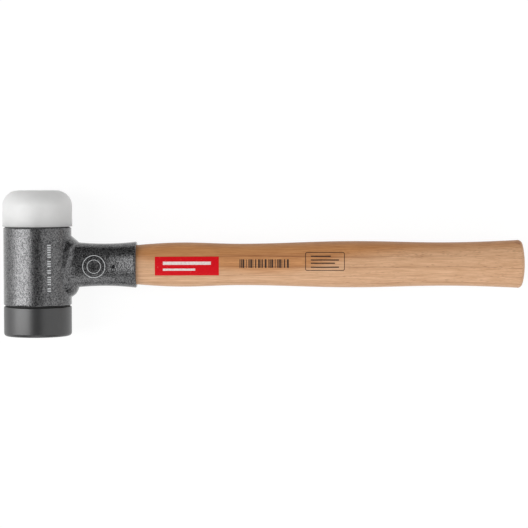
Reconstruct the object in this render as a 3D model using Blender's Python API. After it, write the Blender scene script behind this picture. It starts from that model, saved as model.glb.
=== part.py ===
"""A dead blow hammer with two screw-in faces, a loose shot charge and a hickory handle.

The hammer is modelled standing on its head: local Z runs along the head towards the white
face, and local X runs from the head along the handle. One empty then lays it on its side,
so that in the world +Y runs along the head, +X along the handle and +Z is up.
All sizes are in metres.
"""

import math

import bmesh
import bpy
from mathutils import Matrix, Vector

# Clearances
FIT_GAP = 0.0003           # between pieces that fit into each other
WASHER_GAP = 0.00015       # above and below each washer and retaining ring

# Head housing
HOUSING_DIAMETER = 0.0510
HOUSING_LENGTH = 0.0581
HOUSING_EDGE = 0.0006      # rounding at the two ends
SOCKET_OFFSET = 0.00100    # handle axis above the middle of the housing
CHAMBER_DIAMETER = 0.0380  # room for the shot

# Handle socket, an oval collar that flares where it meets the housing
FLARE_HEIGHT = 0.0462      # along the head, on the housing's surface
FLARE_DEPTH = 0.0320       # across, on the housing's surface
FLARE_REACH = 0.0058       # from the housing's surface out to the neck
FLARE_DROP = 0.0012        # how far the flare sits below the handle's axis
FLARE_SWELL = 0.0012       # how far its lower side bulges
SADDLE_SWELL = 0.00115     # how far it bulges on the broad sides, level with the handle's axis
NECK_HEIGHT = 0.0338
NECK_DEPTH = 0.0260
NECK_WRAP_RADIUS = 0.0293  # curve of the neck round the head, seen along the head
NECK_CUT = 0.0020          # how far the neck lies nearer the head on the broad sides
NECK_TURN = 0.35           # share of its height above the axis where that ends
WAIST_AT = 0.0505          # distances along the handle start at the head's axis
WAIST_HEIGHT = 0.0319
WAIST_DEPTH = 0.0232
MOUTH_AT = 0.0748
MOUTH_HEIGHT = 0.0349
MOUTH_DEPTH = 0.0284
MOUTH_SPREAD = 1.4         # power of the depth's growth towards the mouth
MOUTH_EDGE = 0.0010
SOCKET_WALL = 0.0023
SOCKET_FLOOR = 0.0080      # metal between the chamber and the socket
COLLAR_SQUARENESS = 2.7    # 2 is an ellipse, more is boxier
SADDLE_RISE = 2.6          # how much the saddle's bulge grows towards the white face
SADDLE_FALL = 5.0          # how fast it fades towards the dark face
SADDLE_LEAN = 1.35         # more than 1 brings its crest nearer the neck
SADDLE_STEPS = 5           # rings over the flare

# Handle
HANDLE_LENGTH = 0.3667     # from the head's axis to the butt
TENON_TAPER = 0.0020       # how much slimmer the tenon's end is than its waist
SHOULDER_AT = 0.1105
SHOULDER_HEIGHT = 0.0333
SHOULDER_DEPTH = 0.0232
GRIP_WAIST_AT = 0.1525
GRIP_WAIST_HEIGHT = 0.0312
GRIP_WAIST_DEPTH = 0.0222
BELLY_AT = 0.2385
BELLY_HEIGHT = 0.0349
BELLY_DEPTH = 0.0242
GRIP_NECK_AT = 0.3055
GRIP_NECK_HEIGHT = 0.0327
GRIP_NECK_DEPTH = 0.0230
BUTT_HEIGHT = 0.0362
BUTT_DEPTH = 0.0266
BUTT_EDGE = 0.0025
BUTT_DOME_RADIUS = 0.0700
HANDLE_SQUARENESS = 2.3

# Cross pin
PIN_AT = 0.0579
PIN_DROP = 0.00105         # below the handle's axis, towards the dark face
PIN_DIAMETER = 0.0020
PIN_RECESS = 0.0012        # how far its ends lie below the collar's surface
PIN_EDGE = 0.0002

# Screw thread of both faces
THREAD_DIAMETER = 0.0320
THREAD_DEPTH = 0.0014
THREAD_PITCH = 0.0030
THREAD_BASE = 0.0021       # width of the ridge at its root
THREAD_CREST = 0.0008      # width of the ridge at its crest
SPIGOT_EDGE = 0.0008
SPIGOT_END_GAP = 0.0008    # spigot to the floor of its plug

# End plugs and their retaining rings
PLUG_DIAMETER = 0.0404
PLUG_RECESS = 0.0080
PLUG_FLOOR = 0.0030
RING_RECESS = 0.0010       # from the housing's end to the ring
RING_THICKNESS = 0.0015
RING_WIDTH = 0.0034
RING_GROOVE_DEPTH = 0.0012
RING_OPENING = math.radians(40)

# Washers
WASHER_INSET = 0.0012      # how far their rim lies inside the housing's
NYLON_WASHER_THICKNESS = 0.0005
PU_WASHER_THICKNESS = 0.00085

# White nylon face
NYLON_OVERHANG = 0.00065   # how far its rim stands out past the housing's
NYLON_HEIGHT = 0.0273
NYLON_EDGE = 0.0120        # radius from its side to its flat
NYLON_RIM_EDGE = 0.0004

# Dark polyurethane face and its core
PU_SETBACK = 0.00005       # how far its rim lies inside the housing's
PU_HEIGHT = 0.0222
PU_EDGE = 0.0024
PU_RIM_EDGE = 0.0007
CORE_DIAMETER = 0.0350     # at the washer
CORE_FLARE = 0.0015        # how much wider it is at its deep end, on each side
CORE_THICKNESS = 0.0070

# Shot charge
SHOT_DIAMETER = 0.0080
SHOT_LAYERS = 2

# Facets
ROUND_SEGMENTS = 40
PIN_SEGMENTS = 12
EDGE_SEGMENTS = 3
NYLON_EDGE_SEGMENTS = 8
THREAD_SEGMENTS = 24       # for each turn
OVAL_POINTS = 36
STRETCH_STEPS = 6          # along each stretch of the handle
DOME_STEPS = 4             # over the butt
CUT_MARGIN = 0.0020        # how far a cutter runs past what it cuts

# Places along the head, from the handle's axis, and outward directions
NYLON_SIDE = 1
PU_SIDE = -1
HOUSING_TOP = HOUSING_LENGTH / 2 - SOCKET_OFFSET
HOUSING_BOTTOM = HOUSING_TOP - HOUSING_LENGTH
HOUSING_END = {NYLON_SIDE: HOUSING_TOP, PU_SIDE: HOUSING_BOTTOM}
WASHER_THICKNESS = {NYLON_SIDE: NYLON_WASHER_THICKNESS, PU_SIDE: PU_WASHER_THICKNESS}
HOUSING_RADIUS = HOUSING_DIAMETER / 2
CHAMBER_RADIUS = CHAMBER_DIAMETER / 2
NYLON_RADIUS = HOUSING_RADIUS + NYLON_OVERHANG
PU_RADIUS = HOUSING_RADIUS - PU_SETBACK
THREAD_RADIUS = THREAD_DIAMETER / 2
ROOT_RADIUS = THREAD_RADIUS - THREAD_DEPTH
SEAT_RADIUS = PLUG_DIAMETER / 2 + FIT_GAP
GROOVE_RADIUS = SEAT_RADIUS + RING_GROOVE_DEPTH
SOCKET_END_AT = CHAMBER_RADIUS + SOCKET_FLOOR
PIN_BORE_RADIUS = PIN_DIAMETER / 2 + FIT_GAP

# Depths inward from a housing end
PLUG_OUTER = RING_RECESS + RING_THICKNESS + FIT_GAP
RECESS_FLOOR = PLUG_OUTER + PLUG_RECESS
PLUG_INNER = RECESS_FLOOR + PLUG_FLOOR
SPIGOT_DEPTH = RECESS_FLOOR - SPIGOT_END_GAP


def clear_scene():
    """Remove everything that a new Blender file starts with."""
    for obj in list(bpy.data.objects):
        bpy.data.objects.remove(obj)


def finish(name, red, green, blue, roughness, metallic=0.0):
    """A plain material for one kind of stuff."""
    material = bpy.data.materials.new(name)
    material.use_nodes = True
    shader = material.node_tree.nodes["Principled BSDF"]
    shader.inputs["Base Color"].default_value = (red, green, blue, 1.0)
    shader.inputs["Roughness"].default_value = roughness
    shader.inputs["Metallic"].default_value = metallic
    return material


def add_object(name, bm, parent, material=None):
    """Turn a bmesh into a smooth-shaded object under the hammer's empty."""
    bmesh.ops.remove_doubles(bm, verts=bm.verts, dist=1e-6)
    bmesh.ops.recalc_face_normals(bm, faces=bm.faces)
    mesh = bpy.data.meshes.new(name)
    bm.to_mesh(mesh)
    bm.free()
    mesh.shade_smooth()
    mesh.set_sharp_from_angle(angle=math.radians(35))
    obj = bpy.data.objects.new(name, mesh)
    bpy.context.collection.objects.link(obj)
    obj.parent = parent
    if material:
        mesh.materials.append(material)
    return obj


def as_cutter(obj):
    """Mark an object as a shape that only cuts or joins another."""
    obj.hide_render = True
    obj.display_type = "WIRE"
    return obj


def combine(obj, operation, other):
    """Add a Boolean modifier: UNION or DIFFERENCE."""
    modifier = obj.modifiers.new(other.name, "BOOLEAN")
    modifier.operation = operation
    modifier.object = other
    modifier.solver = "EXACT"


def arc(centre_radius, centre_height, size, start, end, steps):
    """Profile points on a quarter circle or less, angles in degrees from straight outward."""
    points = []
    for step in range(steps + 1):
        angle = math.radians(start + (end - start) * step / steps)
        points.append((centre_radius + size * math.cos(angle), centre_height + size * math.sin(angle)))
    return points


def turned(profile, closed=False, segments=ROUND_SEGMENTS):
    """Spin a profile of (radius, height) points about Z into a closed bmesh."""
    bm = bmesh.new()
    verts = [bm.verts.new((radius, 0.0, height)) for radius, height in profile]
    edges = [bm.edges.new(pair) for pair in zip(verts, verts[1:])]
    if closed:
        edges.append(bm.edges.new((verts[-1], verts[0])))
    bmesh.ops.spin(bm, geom=verts + edges, cent=(0, 0, 0), axis=(0, 0, 1), angle=math.tau,
                   steps=segments, use_merge=True)
    bmesh.ops.remove_doubles(bm, verts=bm.verts, dist=1e-6)
    return bm


def skinned(rings):
    """Join rings of points, all of the same count, into one closed bmesh with flat ends."""
    bm = bmesh.new()
    loops = [[bm.verts.new(point) for point in ring] for ring in rings]
    count = len(loops[0])
    for near, far in zip(loops, loops[1:]):
        for i in range(count):
            j = (i + 1) % count
            bm.faces.new((near[i], near[j], far[j], far[i]))
    bm.faces.new(loops[0])
    bm.faces.new(loops[-1])
    return bm


def oval(height, depth, squareness):
    """Points (along the head, across) of a superellipse of the given full sizes."""
    points = []
    power = 2 / squareness
    for i in range(OVAL_POINTS):
        angle = math.tau * (i + 0.5) / OVAL_POINTS
        along = math.copysign(abs(math.cos(angle)) ** power, math.cos(angle))
        across = math.copysign(abs(math.sin(angle)) ** power, math.sin(angle))
        points.append((along * height / 2, across * depth / 2))
    return points


def flat_ring(at, height, depth, squareness):
    """An oval ring square to the handle, at a distance from the head's axis."""
    return [Vector((at, across, along)) for along, across in oval(height, depth, squareness)]


def domed_ring(at, height, depth):
    """An oval ring of the handle that lies on a wide dome whose top is at the given distance."""
    ring = flat_ring(at, height, depth, HANDLE_SQUARENESS)
    for point in ring:
        point.x -= (point.y ** 2 + point.z ** 2) / (2 * BUTT_DOME_RADIUS)
    return ring


def wrapped_ring(radius, height, depth, drop, shift=0.0):
    """An oval ring of the collar on a cylinder round the head's axis, or round a line beside it."""
    ring = []
    for along, across in oval(height, depth, COLLAR_SQUARENESS):
        ring.append(Vector((shift + math.sqrt(radius ** 2 - across ** 2), across, along - drop)))
    return ring


def swollen_ring(near, far, share):
    """A ring between two others, pushed out on its lower side and, mostly above, on the broad sides."""
    bulge = 4 * share * (1 - share)
    crest = math.sin(math.pi * share ** SADDLE_LEAN)
    ring = []
    for start, end in zip(near, far):
        height = (start.z + FLARE_DROP) / (FLARE_HEIGHT / 2)
        push = Vector((1, 0, -1)).normalized() * FLARE_SWELL * bulge * max(0.0, -height)
        growth = SADDLE_RISE * height ** 2 if height > 0 else SADDLE_FALL * height
        push.y += SADDLE_SWELL * crest * max(0.0, 1 + growth) * start.y / (FLARE_DEPTH / 2)
        ring.append(start.lerp(end, share) + push)
    return ring


def cut_neck(ring):
    """The neck's ring, moved towards the head on the broad sides, up to a little above the axis."""
    moved = []
    for point in ring:
        height = point.z / (NECK_HEIGHT / 2)
        broad = abs(point.y) / (NECK_DEPTH / 2)
        cut = NECK_CUT * broad * min(1.0, max(0.0, 1 - height / NECK_TURN))
        moved.append(point - Vector((cut, 0, 0)))
    return moved


def blend(start, end, share):
    """A value between two others."""
    return start + (end - start) * share


def collar_size(at):
    """Height and depth of the collar between its waist and its mouth."""
    share = (at - WAIST_AT) / (MOUTH_AT - WAIST_AT)
    spread = share ** MOUTH_SPREAD
    return blend(WAIST_HEIGHT, MOUTH_HEIGHT, share ** 2), blend(WAIST_DEPTH, MOUTH_DEPTH, spread)


def collar_rings():
    """Rings of the socket's outside, from inside the housing out to the mouth."""
    buried = (CHAMBER_RADIUS + HOUSING_RADIUS) / 2
    surface = HOUSING_RADIUS - FIT_GAP
    neck = HOUSING_RADIUS + FLARE_REACH
    flare = wrapped_ring(surface, FLARE_HEIGHT, FLARE_DEPTH, FLARE_DROP)
    neck_ring = wrapped_ring(NECK_WRAP_RADIUS, NECK_HEIGHT, NECK_DEPTH, 0, neck - NECK_WRAP_RADIUS)
    neck_ring = cut_neck(neck_ring)
    rings = [wrapped_ring(buried, FLARE_HEIGHT, FLARE_DEPTH, FLARE_DROP), flare]
    rings += [swollen_ring(flare, neck_ring, step / SADDLE_STEPS) for step in range(1, SADDLE_STEPS)]
    rings.append(neck_ring)
    for step in range(1, STRETCH_STEPS):
        share = step / STRETCH_STEPS
        ease = 1 - (1 - share) ** 2
        rings.append(flat_ring(blend(neck, WAIST_AT, share), blend(NECK_HEIGHT, WAIST_HEIGHT, ease),
                               blend(NECK_DEPTH, WAIST_DEPTH, ease), COLLAR_SQUARENESS))
    straight_end = MOUTH_AT - MOUTH_EDGE
    for step in range(STRETCH_STEPS + 1):
        at = blend(WAIST_AT, straight_end, step / STRETCH_STEPS)
        rings.append(flat_ring(at, *collar_size(at), COLLAR_SQUARENESS))
    for out, forward in arc(0, 0, MOUTH_EDGE, 0, 90, EDGE_SEGMENTS)[1:]:
        height, depth = collar_size(straight_end + forward)
        drop = 2 * (MOUTH_EDGE - out)
        rings.append(flat_ring(straight_end + forward, height - drop, depth - drop, COLLAR_SQUARENESS))
    return rings


def tenon_sections(clearance):
    """Sections (place, height, depth) of the tenon, or of its socket when a clearance is added."""
    wall = 2 * (SOCKET_WALL + FIT_GAP - clearance)
    slim = wall + TENON_TAPER
    return [(SOCKET_END_AT + FIT_GAP - clearance, WAIST_HEIGHT - slim, WAIST_DEPTH - slim),
            (WAIST_AT, WAIST_HEIGHT - wall, WAIST_DEPTH - wall),
            (MOUTH_AT, MOUTH_HEIGHT - wall, MOUTH_DEPTH - wall)]


def grip_sections():
    """Sections of the handle outside its socket, each stretch eased from one swell or waist to the next."""
    eases = {"out": lambda share: math.sin(share * math.pi / 2),
             "both": lambda share: (1 - math.cos(share * math.pi)) / 2,
             "in": lambda share: 1 - math.cos(share * math.pi / 2)}
    stretches = [("out", SHOULDER_AT, SHOULDER_HEIGHT, SHOULDER_DEPTH),
                 ("both", GRIP_WAIST_AT, GRIP_WAIST_HEIGHT, GRIP_WAIST_DEPTH),
                 ("both", BELLY_AT, BELLY_HEIGHT, BELLY_DEPTH),
                 ("both", GRIP_NECK_AT, GRIP_NECK_HEIGHT, GRIP_NECK_DEPTH),
                 ("in", HANDLE_LENGTH - BUTT_EDGE, BUTT_HEIGHT, BUTT_DEPTH)]
    start = tenon_sections(0)[-1]
    sections = []
    for ease, *end in stretches:
        for step in range(1, STRETCH_STEPS + 1):
            share = step / STRETCH_STEPS
            eased = eases[ease](share)
            sections.append((blend(start[0], end[0], share), blend(start[1], end[1], eased),
                             blend(start[2], end[2], eased)))
        start = end
    return sections


def butt_rings():
    """Rings round the butt's edge and over its domed end."""
    rings = []
    for out, forward in arc(0, 0, BUTT_EDGE, 0, 90, EDGE_SEGMENTS):
        drop = 2 * (BUTT_EDGE - out)
        rings.append(domed_ring(HANDLE_LENGTH - BUTT_EDGE + forward, BUTT_HEIGHT - drop, BUTT_DEPTH - drop))
    for step in range(DOME_STEPS - 1, 0, -1):
        share = step / DOME_STEPS
        rings.append(domed_ring(HANDLE_LENGTH, (BUTT_HEIGHT - 2 * BUTT_EDGE) * share,
                                (BUTT_DEPTH - 2 * BUTT_EDGE) * share))
    return rings


def oval_rings(sections):
    """Flat rings of the handle's oval, one for each section."""
    return [flat_ring(*section, HANDLE_SQUARENESS) for section in sections]


def helix_ridge(side, start, turns, clearance):
    """A right-hand thread ridge, from a start height outward, grown by a clearance for the nut."""
    inner = ROOT_RADIUS - THREAD_DEPTH / 2
    outer = THREAD_RADIUS + clearance
    flank = (THREAD_BASE - THREAD_CREST) / 2 / THREAD_DEPTH
    half_crest = THREAD_CREST / 2 + clearance
    half_base = half_crest + flank * (outer - inner)
    section = [(inner, -half_base), (outer, -half_crest), (outer, half_crest), (inner, half_base)]
    rings = []
    for step in range(round(turns * THREAD_SEGMENTS) + 1):
        angle = side * math.tau * step / THREAD_SEGMENTS
        rise = start + side * THREAD_PITCH * step / THREAD_SEGMENTS
        rings.append([Vector((radius * math.cos(angle), radius * math.sin(angle), rise + height))
                      for radius, height in section])
    return skinned(rings)


def thread_start(side):
    """Height of the innermost middle of the thread ridge on a side."""
    return HOUSING_END[side] - side * (SPIGOT_DEPTH - SPIGOT_EDGE - THREAD_BASE / 2)


def male_turns():
    """Turns of ridge on a spigot, which stop short of the washer."""
    length = SPIGOT_DEPTH - SPIGOT_EDGE - THREAD_BASE - RING_RECESS
    return length / THREAD_PITCH


def flange_height(side):
    """Height of a face's underside, on its washer."""
    return HOUSING_END[side] + side * (WASHER_THICKNESS[side] + 2 * WASHER_GAP)


def spigot_profile(side):
    """Profile of a spigot from its end on the axis out to the flange's underside."""
    end = HOUSING_END[side] - side * SPIGOT_DEPTH
    return [(0, end), (ROOT_RADIUS - SPIGOT_EDGE, end), (ROOT_RADIUS, end + side * SPIGOT_EDGE),
            (ROOT_RADIUS, flange_height(side))]


def add_thread(face, side, parent):
    """Join a thread ridge to a face's spigot."""
    ridge = add_object(face.name + "_ridge", helix_ridge(side, thread_start(side), male_turns(), 0), parent)
    combine(face, "UNION", as_cutter(ridge))


def bore_half(side):
    """Profile of the bore from a housing end into the chamber, with the ring's groove and the plug's seat."""
    end = HOUSING_END[side]
    groove_start = RING_RECESS - WASHER_GAP
    groove_end = RING_RECESS + RING_THICKNESS + WASHER_GAP
    seat_end = PLUG_INNER + FIT_GAP
    steps = [(0, -CUT_MARGIN), (SEAT_RADIUS, -CUT_MARGIN), (SEAT_RADIUS, groove_start),
             (GROOVE_RADIUS, groove_start), (GROOVE_RADIUS, groove_end), (SEAT_RADIUS, groove_end),
             (SEAT_RADIUS, seat_end), (CHAMBER_RADIUS, seat_end)]
    return [(radius, end - side * depth) for radius, depth in steps]


def build_housing(parent, material):
    """The tube and its socket, bored for the plugs, the shot, the tenon and the pin."""
    edge = HOUSING_EDGE
    radius = HOUSING_RADIUS
    profile = [(0, HOUSING_BOTTOM)]
    profile += arc(radius - edge, HOUSING_BOTTOM + edge, edge, -90, 0, EDGE_SEGMENTS)
    profile += arc(radius - edge, HOUSING_TOP - edge, edge, 0, 90, EDGE_SEGMENTS)
    profile += [(0, HOUSING_TOP)]
    housing = add_object("head_housing", turned(profile), parent, material)
    collar = add_object("collar_shape", skinned(collar_rings()), parent)
    combine(housing, "UNION", as_cutter(collar))

    bore = bore_half(PU_SIDE) + bore_half(NYLON_SIDE)[::-1]
    bore_cutter = add_object("bore_shape", turned(bore), parent)
    combine(housing, "DIFFERENCE", as_cutter(bore_cutter))

    sections = tenon_sections(FIT_GAP)
    last_at, last_height, last_depth = sections[-1]
    sections.append((last_at + CUT_MARGIN, last_height, last_depth))
    socket_cutter = add_object("socket_shape", skinned(oval_rings(sections)), parent)
    combine(housing, "DIFFERENCE", as_cutter(socket_cutter))
    return housing


def build_handle(parent, material):
    """The hickory handle with its tenon."""
    rings = oval_rings(tenon_sections(0) + grip_sections()[:-1]) + butt_rings()
    return add_object("handle", skinned(rings), parent, material)


def pin_rod(radius, length, edge):
    """A rod across the handle, centred on the pin's place, with chamfered ends."""
    half = length / 2
    bm = turned([(0, -half), (radius - edge, -half), (radius, edge - half), (radius, half - edge),
                 (radius - edge, half), (0, half)], segments=PIN_SEGMENTS)
    turn = Matrix.Rotation(math.pi / 2, 4, "X")
    bmesh.ops.transform(bm, matrix=Matrix.Translation((PIN_AT, 0, -PIN_DROP)) @ turn, verts=bm.verts)
    return bm


def build_pin(parent, material, housing, handle):
    """The cross pin and its bore through the collar and the tenon."""
    depth = collar_size(PIN_AT)[1]
    cutter = add_object("pin_shape", pin_rod(PIN_BORE_RADIUS, depth + 2 * CUT_MARGIN, PIN_EDGE), parent)
    as_cutter(cutter)
    combine(housing, "DIFFERENCE", cutter)
    combine(handle, "DIFFERENCE", cutter)
    add_object("handle_pin", pin_rod(PIN_DIAMETER / 2, depth - 2 * PIN_RECESS, PIN_EDGE), parent, material)


def build_end_plug(name, side, parent, material):
    """A threaded cup that closes one end of the shot chamber."""
    end = HOUSING_END[side]
    outer = PLUG_DIAMETER / 2
    inner = ROOT_RADIUS + FIT_GAP
    rim = end - side * PLUG_OUTER
    floor = end - side * RECESS_FLOOR
    base = end - side * PLUG_INNER
    plug = add_object(name, turned([(0, base), (outer, base), (outer, rim), (inner, rim), (inner, floor),
                                    (0, floor)]), parent, material)
    start = thread_start(side) - side * THREAD_PITCH / THREAD_SEGMENTS
    turns = (SPIGOT_DEPTH + CUT_MARGIN) / THREAD_PITCH
    groove = add_object(name + "_groove", helix_ridge(side, start, turns, FIT_GAP), parent)
    groove.rotation_euler.z = -side * math.tau / THREAD_SEGMENTS
    combine(plug, "DIFFERENCE", as_cutter(groove))


def build_end_ring(name, side, parent, material):
    """An open retaining ring in its groove above a plug."""
    outer = GROOVE_RADIUS - FIT_GAP
    inner = outer - RING_WIDTH
    near = HOUSING_END[side] - side * RING_RECESS
    far = near - side * RING_THICKNESS
    bm = bmesh.new()
    corners = [(inner, near), (outer, near), (outer, far), (inner, far)]
    section = bm.faces.new([bm.verts.new((radius, 0, height)) for radius, height in corners])
    start = Matrix.Rotation(RING_OPENING / 2, 4, "Z")
    bmesh.ops.transform(bm, matrix=start, verts=bm.verts)
    bmesh.ops.spin(bm, geom=[section], cent=(0, 0, 0), axis=(0, 0, 1), angle=math.tau - RING_OPENING,
                   steps=ROUND_SEGMENTS)
    add_object(name, bm, parent, material)


def build_washer(name, side, parent, material):
    """A flat sealing ring between the housing and a face."""
    near = HOUSING_END[side] + side * WASHER_GAP
    far = near + side * WASHER_THICKNESS[side]
    inner = THREAD_RADIUS + FIT_GAP
    outer = HOUSING_RADIUS - WASHER_INSET
    profile = [(inner, near), (outer, near), (outer, far), (inner, far)]
    add_object(name, turned(profile, closed=True), parent, material)


def build_nylon_face(parent, material):
    """The white face, one turned piece with its threaded spigot."""
    rim = flange_height(NYLON_SIDE)
    top = rim + NYLON_HEIGHT
    radius = NYLON_RADIUS
    profile = spigot_profile(NYLON_SIDE)
    profile += arc(radius - NYLON_RIM_EDGE, rim + NYLON_RIM_EDGE, NYLON_RIM_EDGE, -90, 0, EDGE_SEGMENTS)
    profile += arc(radius - NYLON_EDGE, top - NYLON_EDGE, NYLON_EDGE, 0, 90, NYLON_EDGE_SEGMENTS)
    profile += [(0, top)]
    face = add_object("nylon_face", turned(profile), parent, material)
    add_thread(face, NYLON_SIDE, parent)


def build_pu_face(parent, soft, rigid):
    """The dark soft face, moulded around a core that widens inside it and carries the thread."""
    rim = flange_height(PU_SIDE)
    tread = rim - PU_HEIGHT
    radius = PU_RADIUS
    core = CORE_DIAMETER / 2
    deep = rim - CORE_THICKNESS
    profile = [(0, deep - FIT_GAP), (core + CORE_FLARE + FIT_GAP, deep - FIT_GAP), (core + FIT_GAP, rim)]
    profile += arc(radius - PU_RIM_EDGE, rim - PU_RIM_EDGE, PU_RIM_EDGE, 90, 0, EDGE_SEGMENTS)
    profile += arc(radius - PU_EDGE, tread + PU_EDGE, PU_EDGE, 0, -90, EDGE_SEGMENTS)
    profile += [(0, tread)]
    add_object("pu_face", turned(profile), parent, soft)
    core_profile = spigot_profile(PU_SIDE)
    core_profile += [(core, rim), (core + CORE_FLARE, deep), (0, deep)]
    core_piece = add_object("pu_face_core", turned(core_profile), parent, rigid)
    add_thread(core_piece, PU_SIDE, parent)


def build_shot(parent, material):
    """Steel balls in rings and layers, resting on the plug behind the dark face."""
    pitch = SHOT_DIAMETER + FIT_GAP
    radius = SHOT_DIAMETER / 2
    lowest = HOUSING_BOTTOM + PLUG_INNER + FIT_GAP + radius
    bm = bmesh.new()
    bmesh.ops.create_icosphere(bm, subdivisions=2, radius=radius)
    mesh = bpy.data.meshes.new("shot_ball")
    bm.to_mesh(mesh)
    bm.free()
    mesh.shade_smooth()
    mesh.materials.append(material)
    number = 0
    for layer in range(SHOT_LAYERS):
        ring = CHAMBER_RADIUS - FIT_GAP - radius
        while ring >= pitch / math.sqrt(3):
            count = math.floor(math.pi / math.asin(pitch / (2 * ring)))
            for i in range(count):
                number += 1
                ball = bpy.data.objects.new(f"shot_ball_{number:02d}", mesh)
                bpy.context.collection.objects.link(ball)
                ball.parent = parent
                angle = math.tau * (i + 0.5) / count
                ball.location = (ring * math.cos(angle), ring * math.sin(angle), lowest + layer * pitch)
            ring -= pitch


def main():
    """Build every piece and lay the hammer on its side, centred over the origin."""
    clear_scene()
    hammer = bpy.data.objects.new("hammer", None)
    bpy.context.collection.objects.link(hammer)
    widest = max(HOUSING_RADIUS, NYLON_RADIUS, PU_RADIUS)
    top = flange_height(NYLON_SIDE) + NYLON_HEIGHT
    bottom = flange_height(PU_SIDE) - PU_HEIGHT
    hammer.rotation_euler.x = -math.pi / 2
    hammer.location = (-(HANDLE_LENGTH - widest) / 2, -(top + bottom) / 2, widest)

    lacquer = finish("grey_hammered_lacquer", 0.105, 0.105, 0.105, 0.38)
    hickory = finish("oiled_hickory", 0.56, 0.31, 0.16, 0.55)
    steel = finish("turned_steel", 0.42, 0.42, 0.43, 0.35, 1.0)
    rubber = finish("black_rubber", 0.012, 0.012, 0.013, 0.70)
    nylon = finish("white_nylon", 0.80, 0.80, 0.80, 0.40)
    polyurethane = finish("dark_polyurethane", 0.055, 0.055, 0.057, 0.42)

    housing = build_housing(hammer, lacquer)
    handle = build_handle(hammer, hickory)
    build_pin(hammer, steel, housing, handle)
    build_end_plug("nylon_end_plug", NYLON_SIDE, hammer, steel)
    build_end_plug("pu_end_plug", PU_SIDE, hammer, steel)
    build_end_ring("nylon_end_ring", NYLON_SIDE, hammer, steel)
    build_end_ring("pu_end_ring", PU_SIDE, hammer, steel)
    build_washer("nylon_face_washer", NYLON_SIDE, hammer, rubber)
    build_washer("pu_face_washer", PU_SIDE, hammer, rubber)
    build_nylon_face(hammer, nylon)
    build_pu_face(hammer, polyurethane, nylon)
    build_shot(hammer, steel)
    print("pieces:", sum(obj.type == "MESH" and not obj.hide_render for obj in bpy.data.objects))


main()
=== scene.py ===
# %% [markdown]
# # A dead blow hammer, from its frame to its picture
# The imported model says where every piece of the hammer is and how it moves. This lesson adds what
# the eye sees: smooth turned and cast shapes, lacquer, wood, nylon and rubber, and studio light.
# The frame is loaded first, because every new piece takes its place and its size from it.

import math

import bmesh
import bpy
from mathutils import Matrix, Vector


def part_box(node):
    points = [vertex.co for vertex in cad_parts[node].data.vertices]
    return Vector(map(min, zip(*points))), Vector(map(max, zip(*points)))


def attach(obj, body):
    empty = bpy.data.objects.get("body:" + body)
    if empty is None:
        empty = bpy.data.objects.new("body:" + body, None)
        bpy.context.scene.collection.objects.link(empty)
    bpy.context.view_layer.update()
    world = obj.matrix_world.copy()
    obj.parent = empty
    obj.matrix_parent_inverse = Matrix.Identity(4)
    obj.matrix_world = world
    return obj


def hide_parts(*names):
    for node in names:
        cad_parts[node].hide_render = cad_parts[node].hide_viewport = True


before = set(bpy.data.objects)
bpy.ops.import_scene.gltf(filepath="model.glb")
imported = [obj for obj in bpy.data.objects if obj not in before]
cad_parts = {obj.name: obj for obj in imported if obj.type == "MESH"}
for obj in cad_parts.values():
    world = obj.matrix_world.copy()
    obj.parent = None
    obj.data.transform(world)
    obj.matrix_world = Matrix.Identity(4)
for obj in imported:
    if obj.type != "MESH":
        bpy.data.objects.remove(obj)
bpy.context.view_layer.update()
MM = 0.001

# %% [markdown]
# ## The hammer's own directions
# Every piece here is turned about the head's axis or drawn along the handle's axis. So pieces are
# modelled in the hammer's own directions, with X along the handle and Z along the head, and one
# matrix lays them down where the frame has them. Both axes come from the boxes of the frame's nodes.

# %% Axes and radii from the frame
nylon_low, nylon_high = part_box("nylon_face")
handle_low, handle_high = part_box("handle")
housing_low, housing_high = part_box("head_housing")
HEAD_X = (nylon_low.x + nylon_high.x) / 2
AXIS_Z = (nylon_low.z + nylon_high.z) / 2
HANDLE_Y = (handle_low.y + handle_high.y) / 2
LAY_DOWN = Matrix.Translation((HEAD_X, HANDLE_Y, AXIS_Z)) @ Matrix.Rotation(-math.pi / 2, 4, "X")
HOUSING_RADIUS = HEAD_X - housing_low.x
MOUTH_AT = housing_high.x - HEAD_X
HANDLE_END = handle_high.x - HEAD_X


def heights(node):
    """Lowest and highest place of a node along the head, from the handle's axis."""
    low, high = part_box(node)
    return low.y - HANDLE_Y, high.y - HANDLE_Y


def radius_of(node):
    """Largest radius of a round node about the head's axis."""
    low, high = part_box(node)
    return (high.x - low.x) / 2


HOUSING_BOTTOM, HOUSING_TOP = heights("head_housing")
print("housing radius and collar mouth in mm:", round(HOUSING_RADIUS / MM, 2), round(MOUTH_AT / MM, 2))

# %% [markdown]
# ## Helpers for shapes
# A turned piece starts as a wire profile, half of its cross-section. Its corners are rounded with a
# vertex bevel while it is still a wire, because that is simpler than picking edges afterwards, and
# then one spin makes the solid. An oval piece starts as one circle whose rim is extruded again and
# again, each new ring being moved to its own place.

# %% Turned, lofted and finished shapes
ROUND_SEGMENTS = 144
EDGE_SEGMENTS = 5
OVAL_POINTS = 120
MERGE = 0.001 * MM


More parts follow.
